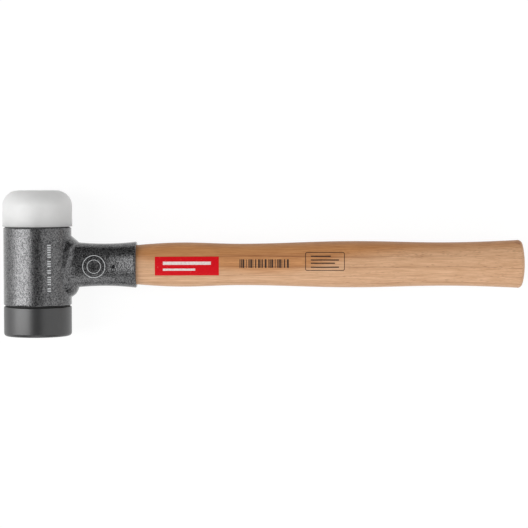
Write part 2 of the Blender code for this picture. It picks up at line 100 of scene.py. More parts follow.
def turned(profile, closed=False, cuts=0, segments=EDGE_SEGMENTS):
    """Spin (radius, height, rounding) points about Z. Cuts divide the walls along the axis."""
    bm = bmesh.new()
    verts = [bm.verts.new((radius, 0, height)) for radius, height, _ in profile]
    edges = [bm.edges.new(pair) for pair in zip(verts, verts[1:])]
    if closed:
        edges.append(bm.edges.new((verts[-1], verts[0])))
    for vert, (_, _, rounding) in zip(verts, profile):
        if rounding:
            bmesh.ops.bevel(bm, geom=[vert], offset=rounding, offset_type="OFFSET", profile=0.5,
                            segments=segments, affect="VERTICES", material=-1)
    if cuts:
        walls = [edge for edge in bm.edges if abs(edge.verts[0].co.x - edge.verts[1].co.x) < MERGE]
        bmesh.ops.subdivide_edges(bm, edges=walls, cuts=cuts)
    bmesh.ops.spin(bm, geom=bm.verts[:] + bm.edges[:], cent=(0, 0, 0), axis=(0, 0, 1), angle=math.tau,
                   steps=ROUND_SEGMENTS, use_merge=True)
    bmesh.ops.remove_doubles(bm, verts=bm.verts, dist=MERGE)
    bmesh.ops.recalc_face_normals(bm, faces=bm.faces)
    return bm


def lofted(rings, squareness):
    """Extrude an oval from ring to ring. A ring is a function that places a point of the unit oval."""
    bm = bmesh.new()
    unit = bm.verts.layers.float_vector.new("unit")
    bmesh.ops.create_circle(bm, cap_ends=True, segments=OVAL_POINTS, radius=1)
    power = 2 / squareness
    for vert in bm.verts:
        squared = [math.copysign(abs(part) ** power, part) for part in vert.co.xy]
        vert[unit] = (*squared, 0)
        vert.co = rings[0](*vert[unit].xy)
    rim = bm.edges[:]
    for ring in rings[1:]:
        grown = bmesh.ops.extrude_edge_only(bm, edges=rim)["geom"]
        rim = [part for part in grown if isinstance(part, bmesh.types.BMEdge)]
        for vert in grown:
            if isinstance(vert, bmesh.types.BMVert):
                vert.co = ring(*vert[unit].xy)
    bmesh.ops.contextual_create(bm, geom=rim)
    bmesh.ops.recalc_face_normals(bm, faces=bm.faces)
    return bm


def shape_object(name, bm, matrix=LAY_DOWN):
    """A bmesh as an object whose place is in its mesh."""
    bmesh.ops.transform(bm, matrix=matrix, verts=bm.verts)
    mesh = bpy.data.meshes.new(name)
    bm.to_mesh(mesh)
    bm.free()
    obj = bpy.data.objects.new(name, mesh)
    bpy.context.collection.objects.link(obj)
    return obj


def combined(obj, operation, *others):
    """Join or cut an object with others, which are used up."""
    for other in others:
        modifier = obj.modifiers.new(other.name, "BOOLEAN")
        modifier.operation = operation
        modifier.object = other
        modifier.solver = "EXACT"
    return settled(obj, others)


def settled(obj, used=()):
    """Apply an object's modifiers and remove the objects that they used."""
    bpy.context.view_layer.update()
    evaluated = obj.evaluated_get(bpy.context.evaluated_depsgraph_get())
    mesh = bpy.data.meshes.new_from_object(evaluated)
    mesh.name = obj.name
    obj.modifiers.clear()
    obj.data = mesh
    for other in used:
        bpy.data.objects.remove(other)
    return obj


def dressed(obj, material, body, slot, *nodes, sharp=40):
    """Give a finished piece its material, its body and the nodes that it stands for. Its slot is not
    used.
    """
    obj.data.materials.clear()
    obj.data.materials.append(material)
    obj.data.shade_smooth()
    obj.data.set_sharp_from_angle(angle=math.radians(sharp))
    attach(obj, body)
    if nodes:
        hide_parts(*nodes)
    print(obj.name, "has", len(obj.data.polygons), "faces")
    return obj


# %% [markdown]
# ## Helpers for finishes
# Each finish is a Principled shader whose colour and bump come from a few texture nodes. The textures
# read Object coordinates, which here are metres in the hammer's frame, so a pattern's scale is simply
# one over its real size.

# %% Colours and nodes
def linear(hex_colour):
    """An sRGB hex colour as the linear colour that a socket takes."""
    channels = [int(hex_colour[i:i + 2], 16) / 255 for i in (1, 3, 5)]
    return (*[c / 12.92 if c <= 0.04045 else ((c + 0.055) / 1.055) ** 2.4 for c in channels], 1.0)


def fill(tree, node, inputs):
    """Fill or link a node's inputs. Another node stands for its first output."""
    for socket, value in inputs.items():
        if isinstance(value, bpy.types.Node):
            value = value.outputs[0]
        if isinstance(value, bpy.types.NodeSocket):
            tree.links.new(value, node.inputs[socket])
        else:
            node.inputs[socket].default_value = value


def add_node(tree, kind, inputs=None, stops=(), **settings):
    """Add a shader node with its settings, its inputs and, on a ramp, its stops."""
    made = tree.nodes.new("ShaderNode" + kind)
    for name, value in settings.items():
        setattr(made, name, value)
    fill(tree, made, inputs or {})
    for number, (position, tone) in enumerate(stops):
        ramp = made.color_ramp.elements
        stop = ramp[number] if number < len(ramp) else ramp.new(position)
        stop.position = position
        stop.color = linear(tone) if isinstance(tone, str) else (tone, tone, tone, 1)
    return made


def new_finish(name, **sockets):
    """A material with constant sockets set. Gives it, its tree, its shader and its coordinates."""
    material = bpy.data.materials.new(name)
    material.use_nodes = True
    tree = material.node_tree
    shader = tree.nodes["Principled BSDF"]
    fill(tree, shader, {socket.replace("_", " "): value for socket, value in sockets.items()})
    coords = add_node(tree, "TexCoord").outputs["Object"]
    return material, tree, shader, coords


# A Mix node has sockets for every type of data. These are the places of those for colours.
MIX_A = 6
MIX_B = 7
MIX_RESULT = 2
# A wave texture repeats after this much of its scaled coordinates.
WAVE_LENGTH = math.tau / 20
print("mid grey is", round(linear("#808080")[0], 3), "in linear light")

# %% [markdown]
# ## Hammered lacquer
# The head is steel under a hammer-finish lacquer: a paint with aluminium flakes and silicone that
# draws itself into small round cells as it dries. The cells give a fine pebbled gloss, and each one
# holds a little more or less of the flakes. A Voronoi texture has just that form: its cell colours
# drive the flakes and its smooth distances the pebbles. Pale cells are a little less metallic, so
# they keep a matt grey of their own where the flakes have nothing bright to mirror.

# %% Hammered lacquer finish
GRAIN_SIZE = 0.6 * MM
LEAST_METALLIC = 0.66
PEBBLE_SIZE = 0.9 * MM
PEBBLE_HEIGHT = 0.09 * MM
DARK_FLAKES = "#363637"
PALE_FLAKES = "#767677"


def hammered_lacquer():
    """Satin metallic lacquer: a fine salt-and-pepper of flakes under a pebbled gloss."""
    material, tree, shader, coords = new_finish("grey_hammered_lacquer", Roughness=0.28,
                                                Coat_Weight=0.4, Coat_Roughness=0.15)
    cells = add_node(tree, "TexVoronoi", {"Vector": coords, "Scale": 1 / PEBBLE_SIZE,
                                          "Smoothness": 0.4}, feature="SMOOTH_F1")
    grains = add_node(tree, "TexVoronoi", {"Vector": coords, "Scale": 1 / GRAIN_SIZE})
    flakes = add_node(tree, "ValToRGB", {"Fac": grains.outputs["Color"]},
                      [(0.25, DARK_FLAKES), (0.8, PALE_FLAKES)])
    filled = add_node(tree, "MapRange", {"Value": grains.outputs["Color"], "From Min": 0.3,
                                         "From Max": 0.7, "To Min": 1.0, "To Max": LEAST_METALLIC})
    bump = add_node(tree, "Bump", {"Height": cells, "Distance": PEBBLE_HEIGHT}, invert=True)
    fill(tree, shader, {"Base Color": flakes, "Metallic": filled, "Normal": bump, "Coat Normal": bump})
    return material


LACQUER = hammered_lacquer()
print("made", LACQUER.name, "with pebbles of", PEBBLE_SIZE / MM, "mm")

# %% [markdown]
# ## Head housing
# The real housing is a steel tube with a cast socket for the handle, painted as one piece. The tube
# is turned. The socket's collar is an oval lofted outwards from the tube: a chamfered flare that
# hugs the cylinder, a neck, a waist and a mouth with a rounded edge. The flare bulges like a saddle
# on the broad sides and below. It starts with a small fillet, drawn as a curve between the tube and
# the saddle, because lacquer always fills a corner.

# %% Sizes of the housing and its collar
FIT_GAP = 0.3 * MM
HOUSING_EDGE = 0.6 * MM
COLLAR_SQUARENESS = 2.7
FLARE_HEIGHT = 46.2 * MM
FLARE_DEPTH = 32.0 * MM
FLARE_REACH = 5.8 * MM
FLARE_DROP = 1.2 * MM
FLARE_SWELL = 1.2 * MM
SADDLE_SWELL = 1.15 * MM
SADDLE_RISE = 2.6
SADDLE_FALL = 5.0
SADDLE_LEAN = 1.35
FLARE_FILLET = 0.25 * MM
FILLET_SINK = 0.02 * MM
NECK_HEIGHT = 33.8 * MM
NECK_DEPTH = 26.0 * MM
NECK_WRAP_RADIUS = 29.3 * MM
NECK_CUT = 2.0 * MM
NECK_TURN = 0.35
WAIST_AT = 50.5 * MM
WAIST_HEIGHT = 31.9 * MM
WAIST_DEPTH = 23.2 * MM
MOUTH_HEIGHT = 34.9 * MM
MOUTH_DEPTH = 28.4 * MM
MOUTH_SPREAD = 1.4
MOUTH_EDGE = 1.0 * MM
SOCKET_WALL = 2.3 * MM
TENON_TAPER = 2.0 * MM
CHAMBER_RADIUS = 19.0 * MM
SOCKET_END_AT = CHAMBER_RADIUS + 8.0 * MM
BURIED_RADIUS = 22.0 * MM


def flat_ring(at, height, depth):
    """A ring square to the handle."""
    return lambda across, along: Vector((at, across * depth / 2, along * height / 2))


def wrapped_ring(radius, height, depth, drop=0.0, shift=0.0):
    """A ring that lies on a cylinder about the head's axis, or about a line beside it."""
    def place(across, along):
        y = across * depth / 2
        return Vector((shift + math.sqrt(radius ** 2 - y ** 2), y, along * height / 2 - drop))
    return place


def bulged(near, far, share):
    """A ring between two others, swollen below and, in the upper half, on the broad sides."""
    bulge = 4 * share * (1 - share)
    crest = math.sin(math.pi * share ** SADDLE_LEAN)

    def place(across, along):
        swell = Vector((1, 0, -1)).normalized() * FLARE_SWELL * bulge * max(0.0, -along)
        growth = SADDLE_RISE * along ** 2 if along > 0 else SADDLE_FALL * along
        swell.y += SADDLE_SWELL * crest * across * max(0.0, 1 + growth)
        return near(across, along).lerp(far(across, along), share) + swell
    return place


def curved(start, corner, end, share):
    """A ring on the curve that leaves a start ring towards a corner and arrives at an end ring."""
    def place(across, along):
        near = start(across, along).lerp(corner(across, along), share)
        far = corner(across, along).lerp(end(across, along), share)
        return near.lerp(far, share)
    return place


def mix(start, end, share):
    """The value at a share of the way from a start to an end."""
    return start + (end - start) * share


NECK_AT = HOUSING_RADIUS + FLARE_REACH
print("flare reaches from", round(HOUSING_RADIUS / MM, 1), "to", round(NECK_AT / MM, 1), "mm")

# %% Collar of the socket
FLARE_STEPS = 10
FILLET_STEPS = 6
COLLAR_STEPS = 16


def collar_size(at):
    """Height and depth of the collar between its waist and its mouth."""
    share = (at - WAIST_AT) / (MOUTH_AT - WAIST_AT)
    height = mix(WAIST_HEIGHT, MOUTH_HEIGHT, share ** 2)
    depth = mix(WAIST_DEPTH, MOUTH_DEPTH, share ** MOUTH_SPREAD)
    return height, depth


def flare_rings():
    """The saddle from the tube's surface to the neck, with a fillet along the tube."""
    foot = wrapped_ring(HOUSING_RADIUS, FLARE_HEIGHT, FLARE_DEPTH, FLARE_DROP)
    grown = 2 * FLARE_FILLET
    apron = wrapped_ring(HOUSING_RADIUS - FILLET_SINK, FLARE_HEIGHT + grown, FLARE_DEPTH + grown,
                         FLARE_DROP)
    level_neck = wrapped_ring(NECK_WRAP_RADIUS, NECK_HEIGHT, NECK_DEPTH,
                              shift=NECK_AT - NECK_WRAP_RADIUS)

    def neck(across, along):
        cut = NECK_CUT * abs(across) * min(1.0, max(0.0, 1 - along / NECK_TURN))
        return level_neck(across, along) - Vector((cut, 0, 0))

    fillet_share = FLARE_FILLET / FLARE_REACH
    fillet_end = bulged(foot, neck, fillet_share)
    rings = [wrapped_ring(BURIED_RADIUS, FLARE_HEIGHT, FLARE_DEPTH, FLARE_DROP)]
    for step in range(FILLET_STEPS + 1):
        rings.append(curved(apron, foot, fillet_end, step / FILLET_STEPS))
    for step in range(1, FLARE_STEPS + 1):
        rings.append(bulged(foot, neck, mix(fillet_share, 1, step / FLARE_STEPS)))
    return rings


def socket_sizes(clearance):
    """Places and sizes of the tenon, or of the socket when a clearance is added."""
    wall = 2 * (SOCKET_WALL + FIT_GAP - clearance)
    slim = wall + TENON_TAPER
    return [(SOCKET_END_AT + FIT_GAP - clearance, WAIST_HEIGHT - slim, WAIST_DEPTH - slim),
            (WAIST_AT, WAIST_HEIGHT - wall, WAIST_DEPTH - wall),
            (MOUTH_AT, MOUTH_HEIGHT - wall, MOUTH_DEPTH - wall)]


def collar_rings():
    """All rings of the collar, out along its skin and round the edge of its mouth."""
    rings = flare_rings()
    for step in range(1, COLLAR_STEPS):
        share = step / COLLAR_STEPS
        ease = 1 - (1 - share) ** 2
        rings.append(flat_ring(mix(NECK_AT, WAIST_AT, share), mix(NECK_HEIGHT, WAIST_HEIGHT, ease),
                               mix(NECK_DEPTH, WAIST_DEPTH, ease)))
    edge_start = MOUTH_AT - MOUTH_EDGE
    for step in range(COLLAR_STEPS + 1):
        at = mix(WAIST_AT, edge_start, step / COLLAR_STEPS)
        rings.append(flat_ring(at, *collar_size(at)))
    for step in range(1, EDGE_SEGMENTS + 1):
        turn = math.pi / 2 * step / EDGE_SEGMENTS
        at = edge_start + MOUTH_EDGE * math.sin(turn)
        height, depth = collar_size(at)
        drop = 2 * MOUTH_EDGE * (1 - math.cos(turn))
        rings.append(flat_ring(at, height - drop, depth - drop))
    return rings


collar = shape_object("collar", lofted(collar_rings(), COLLAR_SQUARENESS))
print("collar has", len(collar.data.polygons), "faces")

# %% [markdown]
# The tube is bored for the parts inside it: a seat for each end plug, a groove for its retaining
# ring and a chamber for the shot between them. The bore is one turned shape that is cut away, and so
# are the oval socket and the cross pin's hole.

# %% Tube, bore, socket and pin hole
SEAT_RADIUS = radius_of("nylon_end_plug") + FIT_GAP
GROOVE_DEPTH = 1.2 * MM
RING_PLAY = 0.15 * MM
CUT_MARGIN = 2.0 * MM
TUBE_CUTS = 56
PIN_HOLE_LENGTH = 40 * MM
HANDLE_SQUARENESS = 2.3
pin_low, pin_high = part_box("handle_pin")
PIN_AT = (pin_low.x + pin_high.x) / 2 - HEAD_X
PIN_UP = (pin_low.y + pin_high.y) / 2 - HANDLE_Y
PIN_RADIUS = (pin_high.x - pin_low.x) / 2
PIN_LENGTH = pin_high.z - pin_low.z
SIDES = {"nylon": (1, HOUSING_TOP), "pu": (-1, HOUSING_BOTTOM)}


def bore_half(name):
    """Half of the bore's profile, from outside an end into the chamber."""
    side, end = SIDES[name]
    ring_near, ring_far = sorted(abs(end - height) for height in heights(name + "_end_ring"))
    near = ring_near - RING_PLAY
    far = ring_far + RING_PLAY
    seat_end = max(abs(end - height) for height in heights(name + "_end_plug")) + FIT_GAP
    groove = SEAT_RADIUS + GROOVE_DEPTH
    steps = [(0, -CUT_MARGIN), (SEAT_RADIUS, -CUT_MARGIN), (SEAT_RADIUS, near), (groove, near),
             (groove, far), (SEAT_RADIUS, far), (SEAT_RADIUS, seat_end), (CHAMBER_RADIUS, seat_end)]
    return [(radius, end - side * depth, 0) for radius, depth in steps]


def socket_shape():
    """The oval socket, from its inner end to a little outside its mouth."""
    rings = [flat_ring(*size) for size in socket_sizes(FIT_GAP)]
    _, height, depth = socket_sizes(FIT_GAP)[-1]
    return lofted(rings + [flat_ring(MOUTH_AT + CUT_MARGIN, height, depth)], HANDLE_SQUARENESS)


def cross_rod(name, radius, length, edge, segments):
    """A turned rod across the handle at the pin's place."""
    half = length / 2
    bm = turned([(0, -half, 0), (radius, -half, edge), (radius, half, edge), (0, half, 0)],
                segments=segments)
    across = Matrix.Translation((PIN_AT, 0, PIN_UP)) @ Matrix.Rotation(math.pi / 2, 4, "X")
    bmesh.ops.transform(bm, verts=bm.verts, matrix=across)
    return shape_object(name, bm)


def pin_hole():
    """The rod that cuts the pin's hole."""
    return cross_rod("pin_hole", PIN_RADIUS + FIT_GAP, PIN_HOLE_LENGTH, 0, EDGE_SEGMENTS)


tube = [(0, HOUSING_BOTTOM, 0), (HOUSING_RADIUS, HOUSING_BOTTOM, HOUSING_EDGE),
        (HOUSING_RADIUS, HOUSING_TOP, HOUSING_EDGE), (0, HOUSING_TOP, 0)]
housing = shape_object("head_shell", turned(tube, cuts=TUBE_CUTS))
combined(housing, "UNION", collar)
bore = shape_object("bore", turned(bore_half("pu") + bore_half("nylon")[::-1]))
socket = shape_object("socket", socket_shape())
combined(housing, "DIFFERENCE", bore, socket, pin_hole())
dressed(housing, LACQUER, "head", "hammered_lacquer", "head_housing")

# %% [markdown]
# ## Hickory
# The handle is hickory, a ring-porous wood: each year starts with a row of open pores, which show as
# darker lines and short dashes along the handle, and the fibres between them are pale. Its heart is
# browner than its sapwood. The heart lies along the handle's side towards the nylon face, and its
# colour there is also painted shade for that side. The rings are a wave texture about a pith outside
# the handle, stretched along the grain, so that they also turn into arcs on the sawn end, as real ones
# do. Real fibres and pores are finer, and are drawn here as wide as they need to be to show.

# %% Hickory finish
RING_SPACING = 6.0 * MM
RING_STRETCH = 0.05
GRAIN_SLOPE = 0.0231
PITH_Y = HANDLE_Y - 60 * MM
PITH_Z = AXIS_Z - 40 * MM
FADE_SIZE = 6 * MM
FIBRE = 0.5 * MM
FIBRE_STRETCH = 0.025
PORE = 0.7 * MM
PORE_STRETCH = 0.14
PORE_PATCH = 2.0 * MM
PORE_STRENGTH = 0.7
PORE_DEPTH = 1.5
FIBRE_HEIGHT = 0.05 * MM
SAPWOOD = "#eec199"
# The heartwood colour is browner wood and also painted shade on the handle's side towards the nylon face.
HEARTWOOD_AND_SIDE_SHADE = "#da9d66"
GROWTH_LINE = "#98603a"
FIBRE_SHADE = "#d4c4b3"
PORE_COLOUR = "#8a5530"
HEART_SPAN = 30 * MM
HEART_SWAY = 8 * MM
SWAY_SIZE = 9 * MM
HEART_STARTS = -14 * MM
HEART_FULL = -5 * MM
# Where the heart's edge lies: shares of the handle's length, with shares of the heart's span.
HEART_EDGE = [(0.15, 0.74), (0.38, 0.22), (0.54, 0.24), (0.64, 0.66), (0.80, 0.78), (1.0, 0.93),
              (1.0, 1.0)]
# How dark a year's ring is, from its first row of pores to its end.
RING_SHADE = [(0.0, 0.9), (0.12, 0.2), (0.5, 0.0), (1.0, 0.14)]


def along_grain(tree, coords, stretch, location=(0, 0, 0)):
    """Coordinates turned and stretched along the grain."""
    return add_node(tree, "Mapping", {"Vector": coords, "Location": location,
                                      "Rotation": (0, 0, GRAIN_SLOPE), "Scale": (stretch, 1, 1)})


def heart_and_side_shade_zones(tree, grain, share, up):
    """How far a place is heartwood, with an edge that wanders along the handle, and its colour. The
    browner heart lies on the side towards the nylon face and also paints the shade of that side.
    """
    edge = add_node(tree, "ValToRGB", {"Fac": share}, HEART_EDGE)
    edge.color_ramp.interpolation = "B_SPLINE"
    height = add_node(tree, "Math", {0: edge, 1: -HEART_SPAN, 2: up}, operation="MULTIPLY_ADD")
    sway = add_node(tree, "TexNoise", {"Vector": grain, "Scale": 1 / SWAY_SIZE, "Detail": 2.0})
    swayed = add_node(tree, "Math", {0: sway, 1: HEART_SWAY, 2: height}, operation="MULTIPLY_ADD")
    heart_and_side_shade = add_node(tree, "MapRange", {"Value": swayed, "From Min": HEART_STARTS,
                                        "From Max": HEART_FULL}, interpolation_type="SMOOTHSTEP")
    zones = add_node(tree, "Mix", {0: heart_and_side_shade, MIX_A: linear(SAPWOOD), MIX_B: linear(HEARTWOOD_AND_SIDE_SHADE)},
                     data_type="RGBA")
    return heart_and_side_shade, zones.outputs[MIX_RESULT]


def growth_lines(tree, rings, grain, heart_and_side_shade, colour):
    """The colour with growth lines, which come and go and are stronger in the heart."""
    line = add_node(tree, "ValToRGB", {"Fac": rings}, RING_SHADE)
    fade = add_node(tree, "TexNoise", {"Vector": grain, "Scale": 1 / FADE_SIZE})
    faded = add_node(tree, "MapRange",
                     {"Value": fade, "From Min": 0.35, "From Max": 0.65, "To Min": 0.35, "To Max": 1.0})
    strong = add_node(tree, "MapRange", {"Value": heart_and_side_shade, "To Min": 0.55, "To Max": 1.2})
    depth = add_node(tree, "Math", {0: strong, 1: faded}, operation="MULTIPLY")
    faint = add_node(tree, "Math", {0: line, 1: depth}, operation="MULTIPLY")
    lined = add_node(tree, "Mix", {0: faint, MIX_A: colour, MIX_B: linear(GROWTH_LINE)},
                     data_type="RGBA")
    return lined.outputs[MIX_RESULT]


def open_pores(tree, coords, rings, share):
    """Short dashes in patches, mostly in a year's early wood and towards the butt."""
    dashes = along_grain(tree, coords, PORE_STRETCH)
    holes = add_node(tree, "TexVoronoi", {"Vector": dashes, "Scale": 1 / PORE})
    patches = add_node(tree, "TexNoise", {"Vector": dashes, "Scale": 1 / PORE_PATCH})
    hole = add_node(tree, "MapRange",
                    {"Value": holes, "From Min": 0.12, "From Max": 0.34, "To Min": 1.0, "To Max": 0.0})
    early = add_node(tree, "MapRange",
                     {"Value": rings, "From Min": 0.1, "From Max": 0.7, "To Min": 1.0, "To Max": 0.55})
    patch = add_node(tree, "MapRange", {"Value": patches, "From Min": 0.40, "From Max": 0.56})
    butt = add_node(tree, "MapRange",
                    {"Value": share, "From Min": 0.5, "From Max": 0.75, "To Min": 0.35})
    pores = hole
    for limit in (early, patch, butt):
        pores = add_node(tree, "Math", {0: pores, 1: limit}, operation="MULTIPLY")
    return pores


def hickory_colour(tree, coords):
    """Nodes for the wood's colour. Gives its colour, its open pores and its fibres."""
    grain = along_grain(tree, coords, RING_STRETCH, (0, -PITH_Y, -PITH_Z))
    rings = add_node(tree, "TexWave", {"Vector": grain, "Scale": WAVE_LENGTH / RING_SPACING,
                                       "Distortion": 2.2, "Detail": 2.0, "Detail Scale": 0.35,
                                       "Detail Roughness": 0.55}, wave_type="RINGS",
                     rings_direction="X", wave_profile="SAW").outputs["Fac"]
    place = add_node(tree, "SeparateXYZ", {"Vector": coords})
    share = add_node(tree, "MapRange",
                     {"Value": place.outputs["X"], "From Min": HEAD_X, "From Max": HEAD_X + HANDLE_END})
    heart_and_side_shade, zones = heart_and_side_shade_zones(tree, grain, share, place.outputs["Y"])
    lined = growth_lines(tree, rings, grain, heart_and_side_shade, zones)
    along = along_grain(tree, coords, FIBRE_STRETCH)
    fibres = add_node(tree, "TexNoise",
                      {"Vector": along, "Scale": 1 / FIBRE, "Detail": 4.0, "Roughness": 0.65})
    streaks = add_node(tree, "ValToRGB", {"Fac": fibres}, [(0.3, FIBRE_SHADE), (0.68, 1.0)])
    striped = add_node(tree, "Mix", {0: 1.0, MIX_A: lined, MIX_B: streaks}, data_type="RGBA",
                       blend_type="MULTIPLY")
    pores = open_pores(tree, coords, rings, share)
    dark = add_node(tree, "Math", {0: pores, 1: PORE_STRENGTH}, operation="MULTIPLY")
    colour = add_node(tree, "Mix", {0: dark, MIX_A: striped.outputs[MIX_RESULT],
                                    MIX_B: linear(PORE_COLOUR)}, data_type="RGBA")
    return colour.outputs[MIX_RESULT], pores, fibres


def oiled_hickory():
    """Sanded and oiled wood: a soft gloss, slightly furrowed along the fibres and at the pores."""
    material, tree, shader, coords = new_finish("oiled_hickory", Roughness=0.46)
    colour, pores, fibres = hickory_colour(tree, coords)
    relief = add_node(tree, "Math", {0: pores, 1: -PORE_DEPTH, 2: fibres}, operation="MULTIPLY_ADD")
    bump = add_node(tree, "Bump", {"Height": relief, "Strength": 0.5, "Distance": FIBRE_HEIGHT})
    fill(tree, shader, {"Base Color": colour, "Normal": bump})
    return material


HICKORY = oiled_hickory()
print("made", HICKORY.name, "with rings", RING_SPACING / MM, "mm apart")

# %% [markdown]
# ## Handle
# The handle is lofted like the collar. Its tenon fills the socket, then the grip swells and narrows
# twice and flares to a domed butt. Each stretch eases from one size to the next with a half wave,
# which keeps the outline free of kinks.

# %% Handle with its tenon
# Each stretch's ease, the place of its end and its height and depth there, in mm.
GRIP = [("out", 110.5, 33.3, 23.2), ("both", 152.5, 31.2, 22.2), ("both", 238.5, 34.9, 24.2),
        ("both", 305.5, 32.7, 23.0)]
BUTT_HEIGHT = 36.2 * MM
BUTT_DEPTH = 26.6 * MM
BUTT_EDGE = 2.5 * MM
BUTT_DOME_RADIUS = 70.0 * MM
GRIP_STEPS = 18
DOME_STEPS = 10
EASES = {"out": lambda share: math.sin(share * math.pi / 2),
         "both": lambda share: (1 - math.cos(share * math.pi)) / 2,
         "in": lambda share: 1 - math.cos(share * math.pi / 2)}


def domed_ring(at, height, depth):
    """A ring on the wide dome of the butt, whose top is at the given place."""
    def place(across, along):
        y = across * depth / 2
        z = along * height / 2
        return Vector((at - (y ** 2 + z ** 2) / (2 * BUTT_DOME_RADIUS), y, z))
    return place


def grip_rings():
    """Rings of the grip, from the mouth of the socket to the start of the butt's edge."""
    stretches = [(ease, at * MM, height * MM, depth * MM) for ease, at, height, depth in GRIP]
    stretches.append(("in", HANDLE_END - BUTT_EDGE, BUTT_HEIGHT, BUTT_DEPTH))
    start = socket_sizes(0)[-1]
    rings = []
    for ease, *end in stretches:
        for step in range(1, GRIP_STEPS + 1):
            share = step / GRIP_STEPS
            sizes = [mix(a, b, EASES[ease](share)) for a, b in zip(start[1:], end[1:])]
            rings.append(flat_ring(mix(start[0], end[0], share), *sizes))
        start = end
    return rings[:-1]


def butt_rings():
    """Rings round the butt's edge and over its dome."""
    rings = []
    for step in range(EDGE_SEGMENTS + 1):
        turn = math.pi / 2 * step / EDGE_SEGMENTS
        at = HANDLE_END - BUTT_EDGE * (1 - math.sin(turn))
        drop = 2 * BUTT_EDGE * (1 - math.cos(turn))
        rings.append(domed_ring(at, BUTT_HEIGHT - drop, BUTT_DEPTH - drop))
    height = BUTT_HEIGHT - 2 * BUTT_EDGE
    depth = BUTT_DEPTH - 2 * BUTT_EDGE
    for step in range(DOME_STEPS - 1, 0, -1):
        share = step / DOME_STEPS
        rings.append(domed_ring(HANDLE_END, height * share, depth * share))
    return rings


handle_rings = [flat_ring(*size) for size in socket_sizes(0)] + grip_rings() + butt_rings()
handle = shape_object("hickory_handle", lofted(handle_rings, HANDLE_SQUARENESS))
combined(handle, "DIFFERENCE", pin_hole())
dressed(handle, HICKORY, "head", "hickory", "handle")

# %% [markdown]
# ## Turned nylon
# The hard face is turned from white polyamide. It has a soft gloss, lets a little light into its
# surface, and keeps very fine turning rings on its flat end, drawn coarser here so that they show.

# %% Nylon finish
TURNING_PITCH = 0.5 * MM
TURNING_DEPTH = 0.01 * MM
NYLON_CLOUD = 9 * MM


def turned_nylon():
    """White plastic that light gets into, a little cloudy, with faint rings."""
    material, tree, shader, coords = new_finish("white_nylon", Roughness=0.42, IOR=1.53,
                                                Subsurface_Weight=1.0, Subsurface_Scale=26.0 * MM,
                                                Subsurface_Radius=(1, 1, 1))
    cloud = add_node(tree, "TexNoise", {"Vector": coords, "Scale": 1 / NYLON_CLOUD, "Detail": 3.0})
    tone = add_node(tree, "ValToRGB", {"Fac": cloud}, [(0.3, "#e3e3e2"), (0.7, "#e8e8e7")])
    centred = add_node(tree, "Mapping", {"Vector": coords, "Location": (-HEAD_X, 0, -AXIS_Z)})
    rings = add_node(tree, "TexWave", {"Vector": centred, "Scale": WAVE_LENGTH / TURNING_PITCH},
                     wave_type="RINGS", rings_direction="Y")
    bump = add_node(tree, "Bump",
                    {"Height": rings.outputs["Fac"], "Strength": 0.15, "Distance": TURNING_DEPTH})
    fill(tree, shader, {"Base Color": tone, "Normal": bump})
    return material


NYLON = turned_nylon()
print("made", NYLON.name)

# %% [markdown]
# ## Screw threads
# Both faces screw into the head, so their spigots carry a right-hand thread, which shows when a face
# is turned out. A thread is one small four-sided section, spun about the axis while each step also
# moves it along. The ridge is joined to the spigot, and a slightly larger one is cut from the plug.

# %% Thread ridges
THREAD_RADIUS = 16.0 * MM
THREAD_DEPTH = 1.4 * MM
THREAD_PITCH = 3.0 * MM
THREAD_BASE = 2.1 * MM
THREAD_CREST = 0.8 * MM
THREAD_RUNOUT = 1.0 * MM
THREAD_SEGMENTS = 72
ROOT_RADIUS = THREAD_RADIUS - THREAD_DEPTH
SPIGOT_EDGE = 0.8 * MM
SPIGOT_NODES = {"nylon": "nylon_face", "pu": "pu_face_core"}


def spigot_end(name):
    """Height of a spigot's inner end."""
    low, high = heights(SPIGOT_NODES[name])
    return low if name == "nylon" else high


def thread_ridge(name, turns, clearance=0.0):
    """A right-hand ridge that starts at a spigot's inner end and climbs outwards."""
    side, _ = SIDES[name]
    inner = ROOT_RADIUS - THREAD_DEPTH / 2
    outer = THREAD_RADIUS + clearance
    half_crest = THREAD_CREST / 2 + clearance
    half_base = half_crest + (THREAD_BASE - THREAD_CREST) / 2 / THREAD_DEPTH * (outer - inner)
    start = spigot_end(name) + side * (SPIGOT_EDGE + THREAD_BASE / 2)
    bm = bmesh.new()
    corners = [(inner, -half_base), (outer, -half_crest), (outer, half_crest), (inner, half_base)]
    section = bm.faces.new([bm.verts.new((radius, 0, start + height)) for radius, height in corners])
    steps = round(turns * THREAD_SEGMENTS)
    bmesh.ops.spin(bm, geom=[section], cent=(0, 0, 0), axis=(0, 0, 1), steps=steps,
                   angle=side * math.tau * turns, dvec=(0, 0, side * THREAD_PITCH / THREAD_SEGMENTS))
    bmesh.ops.recalc_face_normals(bm, faces=bm.faces)
    return shape_object(name + "_ridge", bm)


def spigot_profile(name, flange):
    """Profile of a spigot, from its end on the axis to the flange's underside."""
    end = spigot_end(name)
    return [(0, end, 0), (ROOT_RADIUS, end, SPIGOT_EDGE), (ROOT_RADIUS, flange, 0)]


THREAD_LENGTH = HOUSING_TOP - spigot_end("nylon") - SPIGOT_EDGE - THREAD_BASE - THREAD_RUNOUT
MALE_TURNS = THREAD_LENGTH / THREAD_PITCH
print("turns on a spigot:", round(MALE_TURNS, 2))

# %% [markdown]
# ## White nylon face
# One turned piece: a threaded spigot, a flange a little wider than the housing, and a large round
# edge up to the flat that strikes.

